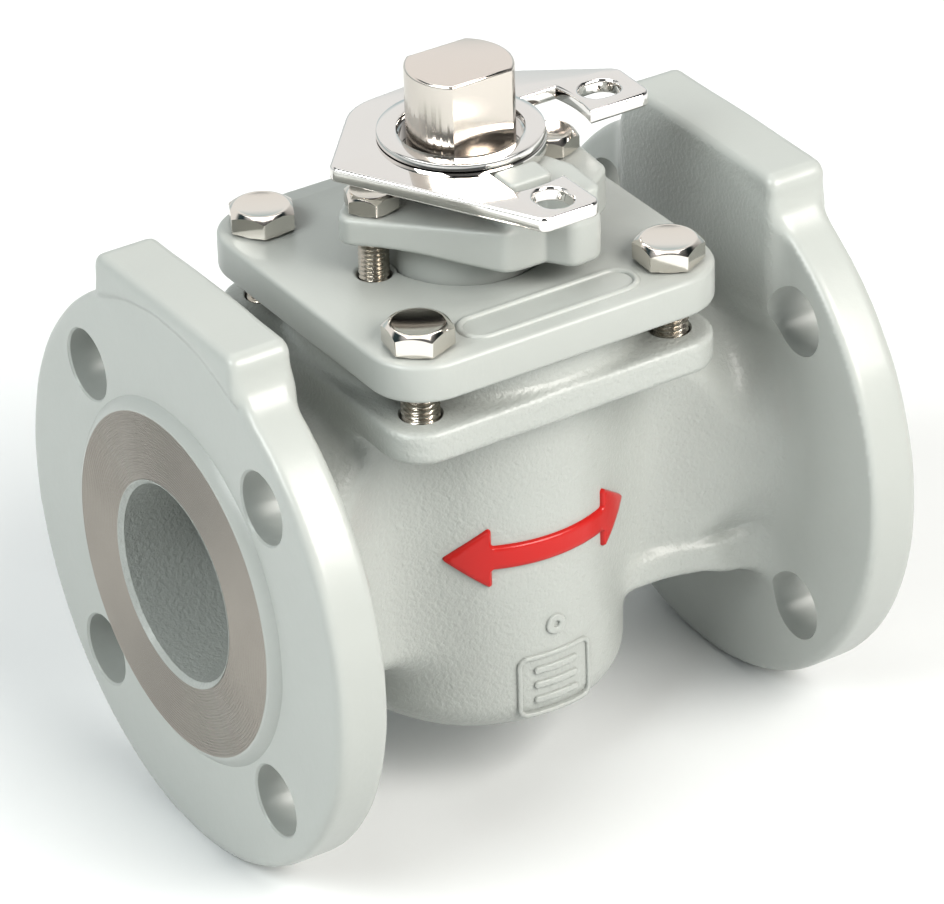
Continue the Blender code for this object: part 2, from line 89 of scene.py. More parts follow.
# ---- sizes shared with the design ------------------------------------------------------
GAP = 0.0003                    # room between two pieces that touch
PAST = 0.0050                   # how far a cutter reaches past the surface it cuts
FLANGE_T = 0.0165
FLANGE_FRONT = FACE_X - 0.0025  # painted front of the flange
LUG_HALF, LUG_MID = 0.0340, 0.0600
BORE_R = 0.02625
BARE_FROM, BARE_TO = 0.0276, 0.0456  # the machined ring, outside the bore's painted lip
GROOVE_DEPTH = 0.00018
PITCH_R = 0.060325
FLANGE_HOLE_R = 0.0095
BARREL_R = 0.0388
BODY_SQUARE, SQUARE_LOW, SQUARE_TOP = 0.0480, 0.0412, 0.0500
SEAT_R = 0.0450
PLUG_MID_R, PLUG_TAPER = 0.0280, 0.06
PLUG_TOP, PLUG_HUB_R, PLUG_HUB_TOP = 0.0450, 0.0200, 0.0531
SLEEVE_TOP = 0.0440
PORT_HALF, PORT_RISE, PORT_CORNER = 0.0155, 0.0255, 0.0080
STEM_R, STEM_FLAT, STEM_CLEAR_R = 0.0138, 0.0107, 0.0142
STEM_SHOULDER = 0.0963
CAP_BOLT_XY, CAP_BOLT_R, CAP_BOLT_HEAD = 0.0370, 0.0050, 0.0060
CAP_BOLT_PITCH, CAP_BOLT_ACROSS = 0.00150, 0.0160
ADJUSTER_BOLT_AT, ADJUSTER_BOLT_R, ADJUSTER_BOLT_HEAD = 0.0266, 0.0040, 0.0050
ADJUSTER_BOLT_PITCH, ADJUSTER_BOLT_ACROSS = 0.00125, 0.0127
ADJUSTER_BOLTS = ((-ADJUSTER_BOLT_AT, 0), (ADJUSTER_BOLT_AT, 0), (0, ADJUSTER_BOLT_AT))
ADJUSTER_TOP = 0.0880
NOSE_R = 0.0210
EAR_REACH, EAR_INNER = 0.0500, 0.0090
NOTCH_HUB_R, NOTCH_R, NOTCH_OPEN, NOTCH_SHUT = 0.0216, 0.0340, 0.0055, 0.0075
EYE_AT, EYE_HALF, EYE_EXTRA = 0.0415, 0.0045, 0.0010


# ---- node helpers ----------------------------------------------------------------------
def colour_ramp(tree, source, stops):
    """Colour ramp through (position, value or colour) stops."""
    node = tree.nodes.new("ShaderNodeValToRGB")
    elements = node.color_ramp.elements
    while len(elements) < len(stops):
        elements.new(0.5)
    for element, (position, colour) in zip(elements, stops):
        if not isinstance(colour, tuple):
            colour = (colour, colour, colour)
        element.position = position
        element.color = (*colour, 1)
    tree.links.new(source, node.inputs["Fac"])
    return node.outputs["Color"]


class Shader:
    """A material's node tree, with short calls for the nodes used here."""

    def __init__(self, name):
        self.material = bpy.data.materials.new(name)
        self.material.use_nodes = True
        self.tree = self.material.node_tree
        self.surface = self.tree.nodes["Principled BSDF"]
        place = self.tree.nodes.new("ShaderNodeTexCoord")
        self.place = place.outputs["Object"]

    def set(self, **values):
        for name, value in values.items():
            self.surface.inputs[name.replace("_", " ")].default_value = value

    def link(self, source, target):
        self.tree.links.new(source, self.surface.inputs[target])

    def noise(self, scale, detail=2.0, roughness=0.5, stretch=(1, 1, 1)):
        mapping = self.tree.nodes.new("ShaderNodeMapping")
        mapping.inputs["Scale"].default_value = stretch
        self.tree.links.new(self.place, mapping.inputs["Vector"])
        texture = self.tree.nodes.new("ShaderNodeTexNoise")
        texture.inputs["Scale"].default_value = scale
        texture.inputs["Detail"].default_value = detail
        texture.inputs["Roughness"].default_value = roughness
        self.tree.links.new(mapping.outputs["Vector"], texture.inputs["Vector"])
        return texture.outputs["Fac"]

    def ramp(self, source, *stops):
        return colour_ramp(self.tree, source, stops)

    def bump(self, height, distance, strength=1.0, under=None):
        node = self.tree.nodes.new("ShaderNodeBump")
        node.inputs["Distance"].default_value = distance
        node.inputs["Strength"].default_value = strength
        self.tree.links.new(height, node.inputs["Height"])
        if under:
            self.tree.links.new(under, node.inputs["Normal"])
        return node.outputs["Normal"]


def enamel(name, colour, sand, rough=(0.30, 0.40)):
    """Thick glossy paint over a casting: orange peel, sand grain and a faint colour drift."""
    paint = Shader(name)
    worn = tuple(0.93 * c for c in colour)
    paint.link(paint.ramp(paint.noise(22, 3), (0.0, worn), (1.0, colour)), "Base Color")
    paint.link(paint.ramp(paint.noise(60, 2), (0.0, rough[0]), (1.0, rough[1])), "Roughness")
    peel = paint.bump(paint.noise(330, 1), 0.00030, 0.16)
    grain = paint.bump(paint.noise(850, 2, 0.55), 0.00040, sand, under=peel)
    paint.link(grain, "Normal")
    paint.set(Coat_Weight=0.20, Coat_Roughness=0.18, Specular_IOR_Level=0.40)
    return paint.material


def steel(name, colour, rough, grain=0.0, stretch=(1, 1, 1), scale=900, brushed=0.0):
    """Bright metal, its roughness drifting, with fine tool marks along one way."""
    metal = Shader(name)
    metal.set(Metallic=1.0, Base_Color=(*colour, 1), Anisotropic=brushed)
    metal.link(metal.ramp(metal.noise(70, 3), (0.3, rough[0]), (0.7, rough[1])), "Roughness")
    if grain:
        lines = metal.noise(scale, 2, 0.5, stretch)
        metal.link(metal.bump(lines, 0.00005, grain), "Normal")
    return metal.material


def plastic(name, colour):
    white = Shader(name)
    white.link(white.ramp(white.noise(60), (0.3, tuple(0.92 * c for c in colour)),
                          (0.7, colour)), "Base Color")
    white.link(white.bump(white.noise(700), 0.0001, 0.3), "Normal")
    white.set(Roughness=0.45)
    return white.material


GREY_TONE = (0.412, 0.430, 0.410)
GREY = enamel("grey_enamel", GREY_TONE, 0.06)
GREY_ROUGH = enamel("grey_enamel_on_casting", GREY_TONE, 0.75)
RED = enamel("red_enamel", (0.470, 0.014, 0.011), 0.06, (0.26, 0.34))
FACED = steel("machined_face", (0.36, 0.336, 0.308), (0.34, 0.46), 0.7, scale=1500)
POLISHED = steel("polished_stainless", (0.84, 0.82, 0.80), (0.05, 0.08))
STEM = steel("turned_stainless", (0.82, 0.76, 0.71), (0.08, 0.13), 0.10, (1, 1, 12), 300)
# The stem's sides: the same stainless, rougher and brushed round the axis, with a darker base colour
# that is painted shade
STEM_SIDE_PAINTED_SHADE = steel("turned_stainless_side_painted_shade", (0.65, 0.61, 0.565), (0.18, 0.25), 0.10, (1, 1, 12),
                  300, 0.75)
BOLT = steel("bolt_stainless", (0.82, 0.78, 0.73), (0.08, 0.14), 0.12)
THREAD = steel("thread_stainless", (0.54, 0.50, 0.44), (0.18, 0.30), 0.2)
ALLOY = steel("plug_stainless", (0.72, 0.70, 0.67), (0.20, 0.30), 0.3, (1, 1, 20), 200)
STRIP = steel("strip_steel", (0.55, 0.55, 0.55), (0.25, 0.35), 0.2)
PTFE = plastic("ptfe", (0.86, 0.86, 0.83))


# ---- mesh helpers ----------------------------------------------------------------------
def add_piece(name, mesh, *materials):
    """A piece drawn from the valve's centre; it stands on its own until it rides."""
    piece = bpy.data.objects.new(name, mesh)
    bpy.context.scene.collection.objects.link(piece)
    piece.location = CENTRE
    mesh.materials.clear()
    for material in materials:
        mesh.materials.append(material)
    return piece


def make_mesh(name, points, faces):
    mesh = bpy.data.meshes.new(name)
    mesh.from_pydata([tuple(p) for p in points], [], [tuple(f) for f in faces])
    mesh.validate()
    return mesh


def weld(mesh, distance=0.000002):
    shape = bmesh.new()
    shape.from_mesh(mesh)
    bmesh.ops.remove_doubles(shape, verts=shape.verts, dist=distance)
    bmesh.ops.recalc_face_normals(shape, faces=shape.faces)
    shape.to_mesh(mesh)
    shape.free()


def shade(piece, angle=32):
    piece.data.shade_smooth()
    piece.data.set_sharp_from_angle(angle=radians(angle))
    return piece


def evaluated_mesh(piece):
    """The mesh that an object has once its curve or modifiers are worked out."""
    bpy.context.view_layer.update()
    graph = bpy.context.evaluated_depsgraph_get()
    return bpy.data.meshes.new_from_object(piece.evaluated_get(graph))


def curve_mesh(curve, outlines, height=0.0):
    """The mesh of a curve drawn along closed (x, y) outlines."""
    for outline in outlines:
        spline = curve.splines.new("POLY")
        spline.points.add(len(outline) - 1)
        for point, (x, y) in zip(spline.points, outline):
            point.co = (x, y, height, 1)
        spline.use_cyclic_u = True
    drawn = bpy.data.objects.new(curve.name, curve)
    bpy.context.scene.collection.objects.link(drawn)
    mesh = evaluated_mesh(drawn)
    bpy.data.objects.remove(drawn, do_unlink=True)
    return mesh


def combine(piece, others, operation="DIFFERENCE"):
    """Cuts other pieces from this one, or adds them to it, and removes them."""
    for other in others:
        boolean = piece.modifiers.new(other.name, "BOOLEAN")
        boolean.operation = operation
        boolean.solver = "MANIFOLD"
        boolean.object = other
    mesh = evaluated_mesh(piece)
    piece.modifiers.clear()
    piece.data = mesh
    for other in others:
        bpy.data.objects.remove(other, do_unlink=True)
    return piece


def arc(x, y, radius, start, end, steps):
    turns = [radians(start + (end - start) * i / steps) for i in range(steps + 1)]
    return [(x + radius * cos(a), y + radius * sin(a)) for a in turns]


def circle(x, y, radius, steps=48):
    return arc(x, y, radius, 0, 360, steps)[:-1]


def rounded(corners, steps=8):
    """Outline through (x, y, radius) corners, each corner rounded to its radius."""
    outline = []
    for i, (x, y, radius) in enumerate(corners):
        if radius == 0:
            outline.append((x, y))
            continue
        here = Vector((x, y))
        before = (Vector(corners[i - 1][:2]) - here).normalized()
        after = (Vector(corners[(i + 1) % len(corners)][:2]) - here).normalized()
        half = before.angle(after) / 2
        middle = here + (before + after).normalized() * (radius / sin(half))
        first = here + before * (radius / tan(half)) - middle
        last = here + after * (radius / tan(half)) - middle
        begin = atan2(first.y, first.x)
        sweep = (atan2(last.y, last.x) - begin + pi) % (2 * pi) - pi
        for k in range(steps + 1):
            angle = begin + sweep * k / steps
            outline.append((middle.x + radius * cos(angle), middle.y + radius * sin(angle)))
    return outline


def plate(name, outlines, low, high, edge, *materials, steps=3):
    """Flat piece with rounded edges: the first outline is its rim, the rest are holes."""
    curve = bpy.data.curves.new(name, "CURVE")
    curve.dimensions = "2D"
    curve.fill_mode = "BOTH"
    curve.extrude = (high - low) / 2 - edge
    curve.bevel_depth = edge
    curve.bevel_resolution = steps
    curve.offset = -edge
    mesh = curve_mesh(curve, outlines)
    mesh.transform(Matrix.Translation((0, 0, (low + high) / 2)))
    weld(mesh)
    return add_piece(name, mesh, *materials)


def turned(name, profile, *materials, steps=128, closed=False, side=0):
    """Solid of revolution of (radius, height) points; side = 1 or -1 lays it along X."""
    count = len(profile)
    points = []
    for i in range(steps):
        angle = 2 * pi * i / steps
        points += [(r * cos(angle), r * sin(angle), h) for r, h in profile]
    faces = []
    for i in range(steps):
        here, there = i * count, ((i + 1) % steps) * count
        for k in range(count if closed else count - 1):
            n = (k + 1) % count
            faces.append((here + k, here + n, there + n, there + k))
    mesh = make_mesh(name, points, faces)
    weld(mesh)
    if side:
        mesh.transform(Matrix.Rotation(side * pi / 2, 4, "Y"))
    return add_piece(name, mesh, *materials)


def bar(name, radius, low, high, at=(0, 0), flare=0, side=0, steps=64):
    """Round cutter, its high end flared to leave a small chamfer."""
    profile = [(0, high + PAST), (radius + flare, high + PAST), (radius + flare, high),
               (radius, high - flare), (radius, low), (0, low)]
    piece = turned(name, profile, steps=steps, side=side)
    piece.location += Vector((0, at[0], at[1]) if side else (at[0], at[1], 0))
    return piece


def around(radius, count=4, start=45):
    turns = [radians(start + 360 * i / count) for i in range(count)]
    return [(radius * cos(a), radius * sin(a)) for a in turns]


# ---- distance fields: negative inside, metres ------------------------------------------
def blend(a, b, fillet):
    """Union of two fields, the corner between them filled."""
    share = np.maximum(fillet - np.abs(a - b), 0) / fillet
    return np.minimum(a, b) - share * share * fillet / 4


def trim(a, b, edge):
    """What two fields share, the edge between them rounded."""
    return -blend(-a, -b, edge)


def rounded_corner(u, v, corner):
    outside = np.hypot(np.maximum(u + corner, 0), np.maximum(v + corner, 0))
    return outside + np.minimum(np.maximum(u, v) + corner, 0) - corner


def rectangle(u, v, half_u, half_v, corner):
    return rounded_corner(np.abs(u) - half_u, np.abs(v) - half_v, corner)


def raised(outline, height, low, high, edge):
    """A flat outline's field raised between two heights."""
    return rounded_corner(outline, np.abs(height - (low + high) / 2) - (high - low) / 2, edge)


def polygon(x, y, corners):
    """Distance to a closed outline of (x, y) corners."""
    distance, inside = 1.0, False
    for (ax, ay), (bx, by) in zip(corners, corners[1:] + corners[:1]):
        ex, ey = bx - ax, by - ay
        along = np.clip(((x - ax) * ex + (y - ay) * ey) / (ex * ex + ey * ey), 0, 1)
        distance = np.minimum(distance, np.hypot(x - ax - ex * along, y - ay - ey * along))
        if ay != by:
            crossed = ((y >= ay) != (y >= by)) & (x < ax + (y - ay) * ex / ey)
            inside = np.logical_xor(inside, crossed)
    return np.where(inside, -distance, distance)


def ease(value, start, end):
    share = np.clip((value - start) / (end - start), 0, 1)
    return share * share * (3 - 2 * share)


def surface_of(field, low, high, step):
    """Points and faces of the surface where a field is zero, one point for each grid cell."""
    axes = [np.arange(a - step, b + 2 * step, step) for a, b in zip(low, high)]
    values = field(axes[0][:, None, None], axes[1][None, :, None], axes[2][None, None, :])
    inside = np.broadcast_to(values, [len(a) for a in axes]) < 0
    cells = [n - 1 for n in inside.shape]
    held = np.zeros(cells, np.int8)
    for i in (0, 1):
        for j in (0, 1):
            for k in (0, 1):
                held += inside[i:i + cells[0], j:j + cells[1], k:k + cells[2]]
    crossed = (held > 0) & (held < 8)
    index = np.full(cells, -1)
    index[crossed] = np.arange(crossed.sum())
    points = np.stack([axes[n][c] + step / 2 for n, c in enumerate(np.nonzero(crossed))], 1)
    faces = []
    for axis in range(3):
        a, b = np.moveaxis(inside, axis, 0)[:-1], np.moveaxis(inside, axis, 0)[1:]
        near = np.moveaxis(index, axis, 0)
        change = a[:, 1:-1, 1:-1] != b[:, 1:-1, 1:-1]
        n, u, v = np.nonzero(change)
        quad = np.stack([near[n, u, v], near[n, u + 1, v], near[n, u + 1, v + 1],
                         near[n, u, v + 1]], 1)
        flip = a[:, 1:-1, 1:-1][change] == (axis == 1)
        quad[flip] = quad[flip][:, ::-1]
        faces.append(quad)
    return settle(field, points, step), np.concatenate(faces)


def slope(field, points, reach_out):
    """Value and gradient of a field at some points."""
    at = [points[:, n] for n in range(3)]
    value = field(*at)
    gradient = []
    for n in range(3):
        moved = list(at)
        moved[n] = at[n] + reach_out
        gradient.append((field(*moved) - value) / reach_out)
    return value, np.stack(gradient, 1)


def settle(field, points, step):
    """Moves points along the slope until they lie on the surface."""
    for _ in range(4):
        value, gradient = slope(field, points, step / 50)
        size = np.maximum((gradient ** 2).sum(1), 0.1)
        move = gradient * (value / size)[:, None]
        points = points - np.clip(move, -step / 2, step / 2)
    return points


def cast(name, field, low, high, step, *materials, swell=0.0, ripple=0.012):
    """A casting: the surface of a field, with the gentle unevenness of a sand mould."""
    points, faces = surface_of(field, low, high, step)
    if swell:
        gradient = slope(field, points, step / 50)[1]
        gradient /= np.linalg.norm(gradient, axis=1)[:, None]
        lift = np.array([noise.noise(Vector(p) / ripple) for p in points])
        points = points + gradient * (lift * swell)[:, None]
    mesh = bpy.data.meshes.new(name)
    mesh.from_pydata(points.tolist(), [], faces.tolist())
    return add_piece(name, mesh, *materials)


# ---- body ------------------------------------------------------------------------------
def neck_field(side, y, z):
    """Square-shouldered beside the barrel, round where it meets the flange."""
    width = 0.0240 + 0.0125 * ease(side, 0.038, 0.076)
    crown = 0.0430 - 0.0072 * ease(side, 0.036, 0.064) + 0.0006 * ease(side, 0.064, 0.076)
    floor_z = -0.0335 - 0.0030 * ease(side, 0.048, 0.076)
    corner = 0.0070 + 0.0290 * ease(side, 0.040, 0.072)
    half = (crown - floor_z) / 2
    section = rectangle(y, z - (crown + floor_z) / 2, width, half,
                        np.minimum(corner, np.minimum(width, half) - 0.0001))
    return trim(section, side - 0.080, 0.002)


def body_field(x, y, z):
    side = np.abs(x)
    across = np.hypot(x, y)
    pipe = np.hypot(y, z)
    inner = FACE_X - FLANGE_T
    barrel = raised(across - BARREL_R, z, BARREL_BOTTOM, SEAT_TOP - 0.002, 0.0100)
    neck = neck_field(side, y, z)
    ledge_half = 0.0264 + 0.0036 * ease(x, 0.040, 0.058)
    deeper = 0.0012 * ease(x, 0.052, 0.062)
    ledge = rectangle(y, z + 0.0283 + deeper, ledge_half, 0.0045 + deeper, 0.0022)
    right_ledge = raised(ledge, x, 0, 0.0740, 0.0020)
    flange = raised(pipe - FLANGE_R, side, inner, FACE_X + PAST, 0.0020)
    lug = raised(rectangle(y, z - LUG_MID, LUG_HALF, LUG_TOP - LUG_MID, 0.0040), side,
                 inner - 0.0020, FACE_X + PAST, 0.0026)
    under_lug = ease(LUG_HALF + 0.0015 - np.abs(y), 0, 0.0030) * (z > 0)
    front = FLANGE_FRONT + 0.0014 * ease(pipe, FLANGE_R - 0.0024, FLANGE_R) * under_lug
    square = raised(rectangle(x, y, BODY_SQUARE, BODY_SQUARE, 0.0110), z, SQUARE_LOW,
                    SQUARE_TOP, 0.0016)
    seat = raised(across - SEAT_R, z, 0.0400, SEAT_TOP, 0.0008)
    body = blend(barrel, neck, 0.0080)
    body = blend(blend(body, right_ledge, 0.0020), flange, 0.0130)
    body = blend(body, lug, 0.0070)
    body = trim(body, side - front, 0.0028)
    body = blend(body, square, 0.0060)
    return blend(body, seat, 0.0040)


def marks_field(x, y, z):
    """Blank raised tablet and a dimpled locating button, cast on the front of the barrel."""
    tablet_at, button_at, bead = -0.0405, -0.0237, 0.0013
    round_front = BARREL_R * np.arctan2(x, -y)
    tablet = rectangle(round_front, z - tablet_at, 0.0112, 0.0092, 0.0030)
    from_button = np.hypot(round_front, z - button_at)
    lines = np.minimum(np.maximum(tablet, -(tablet + bead)),
                       np.maximum(from_button - 0.0029, 0.0009 - from_button))
    for level in (-0.0361, tablet_at, -0.0449):
        lines = np.minimum(lines, rectangle(round_front, z - level, 0.0066, 0.0010, 0.0009))
    return raised(lines, np.hypot(x, y), BARREL_R - 0.0012, BARREL_R + 0.0008, 0.0004)


def make_marks():
    low, high = (-0.0125, -BARREL_R - 0.0015, -0.0510), (0.0125, -BARREL_R + 0.0040, -0.0200)
    return shade(cast("cast_marks", marks_field, low, high, 0.00042, GREY_ROUGH), 60)


def raised_face(side):
    """Raised face: a painted slope round a bare ring with shallow concentric grooves."""
    pitch = 0.0008
    count = int((BARE_TO - BARE_FROM) / pitch)
    back = FLANGE_FRONT - 0.0008
    inner = BORE_R - PAST
    profile = [(inner, back), (0.0496, back), (0.0486, FLANGE_FRONT + 0.0004),
               (0.0474, FLANGE_FRONT + 0.0014), (0.0464, FACE_X - 0.0003),
               (BARE_TO + 0.0001, FACE_X)]
    for i in range(count + 1):
        radius = BARE_TO - i * pitch
        profile += [(radius, FACE_X), (radius - pitch / 2, FACE_X - GROOVE_DEPTH)]
    profile += [(BARE_FROM, FACE_X), (inner, FACE_X)]
    return turned(f"raised_face_{side}", profile, closed=True, side=side, steps=192)


def bore_cutter(side):
    """Round bore from the face, closing to the tall port that the sleeve stands in."""
    room = 0.0008  # past the port's edge
    half, rise = PORT_HALF + room, PORT_RISE + room
    steps = 64
    rows = []
    for x in (0.020, 0.036, 0.040, 0.044, 0.048, 0.052, 0.056, 0.060, 0.064):
        share = float(ease(x, 0.036, 0.064))
        rows.append((x, half + (BORE_R - half) * share, rise + (BORE_R - rise) * share,
                     PORT_CORNER + (BORE_R - PORT_CORNER) * share))
    lip = 0.0012
    rows += [(FACE_X - lip, *[BORE_R] * 3), (FACE_X, *[BORE_R + lip] * 3),
             (FACE_X + PAST, *[BORE_R + lip] * 3)]
    points = []
    for x, width, height, corner in rows:
        corner = min(corner, width, height)
        for i in range(steps):
            angle = 2 * pi * i / steps
            y = (width - corner) * np.sign(round(cos(angle), 6)) + corner * cos(angle)
            z = (height - corner) * np.sign(round(sin(angle), 6)) + corner * sin(angle)
            points.append((side * x, y, z))
    faces = [tuple(range(steps)), tuple(range(len(points) - steps, len(points)))]
    for row in range(len(rows) - 1):
        for i in range(steps):
            k = (i + 1) % steps
            low, high = row * steps, (row + 1) * steps
            faces.append((low + i, low + k, high + k, high + i))
    mesh = make_mesh(f"bore_{side}", points, faces)
    weld(mesh)
    return add_piece(f"bore_{side}", mesh)


def choose_finishes(body):
    """Bare metal on the machined rings, smooth paint on the flanges, rough paint elsewhere."""
    rough_paint, bare_metal, smooth_paint = 0, 1, 2
    mesh = body.data
    middles = np.empty(len(mesh.polygons) * 3)
    mesh.polygons.foreach_get("center", middles)
    x, y, z = middles.reshape(-1, 3).T
    side, radius = np.abs(x), np.hypot(y, z)
    outside_bore = radius > BARE_FROM
    bare = (side > FACE_X - GROOVE_DEPTH - 0.00004) & outside_bore & (radius < BARE_TO + 0.0001)
    smooth = (side > FACE_X - FLANGE_T - 0.0020) & outside_bore
    finish = np.where(bare, bare_metal, np.where(smooth, smooth_paint, rough_paint))
    mesh.polygons.foreach_set("material_index", finish.astype(np.int32))
    mesh.update()


def make_body():
    body = cast("cast_body", body_field, (-FACE_X, -FLANGE_R, -FLANGE_R),
                (FACE_X, FLANGE_R, LUG_TOP), 0.0011, GREY_ROUGH, FACED, GREY, swell=0.00012)
    margin = 0.0036  # room round the plug for its sleeve
    cavity_floor, tap_floor, behind_flange = -0.0460, 0.0350, 0.0600
    cavity = turned("cavity", [(0, SEAT_TOP + PAST), (CAVITY_R, SEAT_TOP + PAST),
                               (CAVITY_R, SLEEVE_TOP + 2 * GAP),
                               (plug_radius(SLEEVE_TOP) + margin, SLEEVE_TOP + 2 * GAP),
                               (plug_radius(cavity_floor) + margin, cavity_floor),
                               (0, cavity_floor)])
    cutters = [cavity, bore_cutter(1), bore_cutter(-1)]
    for side in (1, -1):
        for i, at in enumerate(around(PITCH_R)):
            cutters.append(bar(f"stud_hole_{side}_{i}", FLANGE_HOLE_R, behind_flange,
                               FLANGE_FRONT, at, flare=0.0005, side=side))
    for i, at in enumerate(around(CAP_BOLT_XY * sqrt(2))):
        cutters.append(bar(f"tapped_hole_{i}", CAP_BOLT_R + GAP, tap_floor, SQUARE_TOP, at,
                           flare=0.0004))
    combine(body, [raised_face(1), raised_face(-1)], "UNION")
    combine(body, cutters)
    choose_finishes(body)
    return shade(body, 38)


def even(outline, longest):
    """The same outline with its long straight runs divided."""
    points = []
    for a, b in zip(outline, outline[1:] + outline[:1]):
        count = max(1, int(hypot(b[0] - a[0], b[1] - a[1]) / longest))
        points += [(a[0] + (b[0] - a[0]) * i / count, a[1] + (b[1] - a[1]) * i / count)
                   for i in range(count)]
    return points


def outward(outline, index):
    """Direction out of a clockwise outline at one of its points."""
    along = Vector(outline[(index + 1) % len(outline)]) - Vector(outline[index - 1])
    return Vector((-along.y, along.x)).normalized()


def make_flow_arrow():
    """Raised red two-way flow arrow, wrapped round the front of the barrel."""
    half, head, shaft, wing = 0.0300, 0.0130, 0.0034, 0.0092
    outline = [(half, 0), (half - head, -wing), (half - head, -shaft), (head - half, -shaft),
               (head - half, -wing), (-half, 0), (head - half, wing), (head - half, shaft),
               (half - head, shaft), (half - head, wing)]
    outline = even(rounded([(x, y, 0.0008) for x, y in outline], 4), 0.0011)
    inset, high, sunk = 0.0006, 0.0012, 0.0010
    step = 0.0011
    grid = [(x, y) for x in np.arange(-half, half, step) for y in np.arange(-wing, wing, step)]
    field = polygon(np.array([g[0] for g in grid]), np.array([g[1] for g in grid]), outline)
    inner = [g for g, d in zip(grid, field) if d < -step]
    count = len(outline)
    ring = [Vector(p) - outward(outline, i) * inset for i, p in enumerate(outline)]
    points = ring + [Vector(p) for p in inner]
    edges = [(i, (i + 1) % count) for i in range(count)]
    flat, _, faces, *_ = delaunay_2d_cdt(points, edges, [], 1, 0.00001)
    shape = bmesh.new()
    tops = [shape.verts.new((p.x, p.y, high)) for p in flat]
    for face in faces:
        shape.faces.new([tops[i] for i in face])
    rim = [edge for edge in shape.edges if edge.is_boundary]
    for drop, grow in ((high * 0.5, inset * 0.85), (high + sunk, inset * 0.15)):
        made = bmesh.ops.extrude_edge_only(shape, edges=rim)["geom"]
        verts = [item for item in made if isinstance(item, bmesh.types.BMVert)]
        rim = [item for item in made if isinstance(item, bmesh.types.BMEdge)
               and item.is_boundary and all(v in verts for v in item.verts)]
        for vert in verts:
            away = [hypot(x - vert.co.x, y - vert.co.y) for x, y in outline]
            out = outward(outline, away.index(min(away))) * grow
            vert.co += Vector((*out, -drop))
    bmesh.ops.holes_fill(shape, edges=[e for e in shape.edges if e.is_boundary])
    bmesh.ops.triangulate(shape, faces=[f for f in shape.faces if len(f.verts) > 4])
    bmesh.ops.recalc_face_normals(shape, faces=shape.faces)
    for vert in shape.verts:
        angle = vert.co.x / BARREL_R
        radius = BARREL_R + vert.co.z
        vert.co = (radius * sin(angle), -radius * cos(angle), vert.co.y)
    mesh = bpy.data.meshes.new("flow_arrow")
    shape.to_mesh(mesh)
    shape.free()
    return shade(add_piece("flow_arrow", mesh, RED), 50)


# ---- plug ------------------------------------------------------------------------------
def plug_radius(height):
    return PLUG_MID_R + PLUG_TAPER * height


def make_plug():
    """Tapered plug with its port, and the stem with two flats that is part of it."""
    profile = [(0, STEM_SHOULDER + 0.001), (STEM_R, STEM_SHOULDER + 0.001), (STEM_R, PLUG_HUB_TOP),
               (PLUG_HUB_R, PLUG_HUB_TOP), (PLUG_HUB_R, PLUG_TOP),
               (plug_radius(PLUG_TOP), PLUG_TOP), (plug_radius(PLUG_BOTTOM), PLUG_BOTTOM),
               (0, PLUG_BOTTOM)]
    plug = turned("plug_and_stem", profile, STEM, STEM_SIDE_PAINTED_SHADE)
    flat = asin(STEM_FLAT / STEM_R) * 180 / pi
    outline = arc(0, 0, STEM_R, -flat, flat, 24) + arc(0, 0, STEM_R, 180 - flat, 180 + flat, 24)
    stem = plate("stem_end", [outline], STEM_SHOULDER - 0.0005, STEM_TOP, 0.0008, steps=4)
    window = rounded([(PORT_HALF, -PORT_RISE, PORT_CORNER), (PORT_HALF, PORT_RISE, PORT_CORNER),
                      (-PORT_HALF, PORT_RISE, PORT_CORNER), (-PORT_HALF, -PORT_RISE, PORT_CORNER)])
    through = 0.0500
    port = plate("port", [window], -through, through, 0.0001)
    port.data.transform(Matrix.Rotation(pi / 2, 4, "X"))
    port.data.transform(Matrix.Rotation(pi / 2, 4, "Z"))
    combine(plug, [stem], "UNION")
    combine(plug, [port])
    # Sideways faces take the darker copy of the steel, painted shade on the sides of stem and plug; top
    # faces keep the bright steel
    for face in plug.data.polygons:
        face.material_index = int(abs(face.normal.z) < 0.7)
    return shade(plug, 30)


# ---- cap and adjuster ------------------------------------------------------------------
def make_cap():
    corner = 0.0150
    half = CAP_HALF
    outline = rounded([(half, -half, corner), (half, half, corner), (-half, half, corner),
                       (-half, -half, corner)], 16)
    holes = [circle(*at, CAP_BOLT_R + 2 * GAP) for at in around(CAP_BOLT_XY * sqrt(2))]
    holes += [circle(*at, ADJUSTER_BOLT_R + GAP) for at in ADJUSTER_BOLTS]
    holes.append(circle(0, 0, NOSE_R + 0.0004, 144))
    cap = plate("cap_plate", [outline, *holes], CAP_LOW, CAP_TOP, 0.0013, GREY, steps=4)
    combine(cap, [make_cartouche()], "UNION")
    return shade(cap, 40)


def make_cartouche():
    """Blank raised border near the front edge of the cap."""
    bead, half_length, half_width, y = 0.0010, 0.0200, 0.0052, -0.0385
    path = arc(half_length, y, half_width, -90, 90, 16)
    path += arc(-half_length, y, half_width, 90, 270, 16)
    curve = bpy.data.curves.new("cartouche", "CURVE")
    curve.dimensions = "3D"
    curve.bevel_depth = bead
    curve.bevel_resolution = 3
    mesh = curve_mesh(curve, [path], CAP_TOP - bead * 0.2)
    weld(mesh)
    return add_piece("cartouche", mesh, GREY)


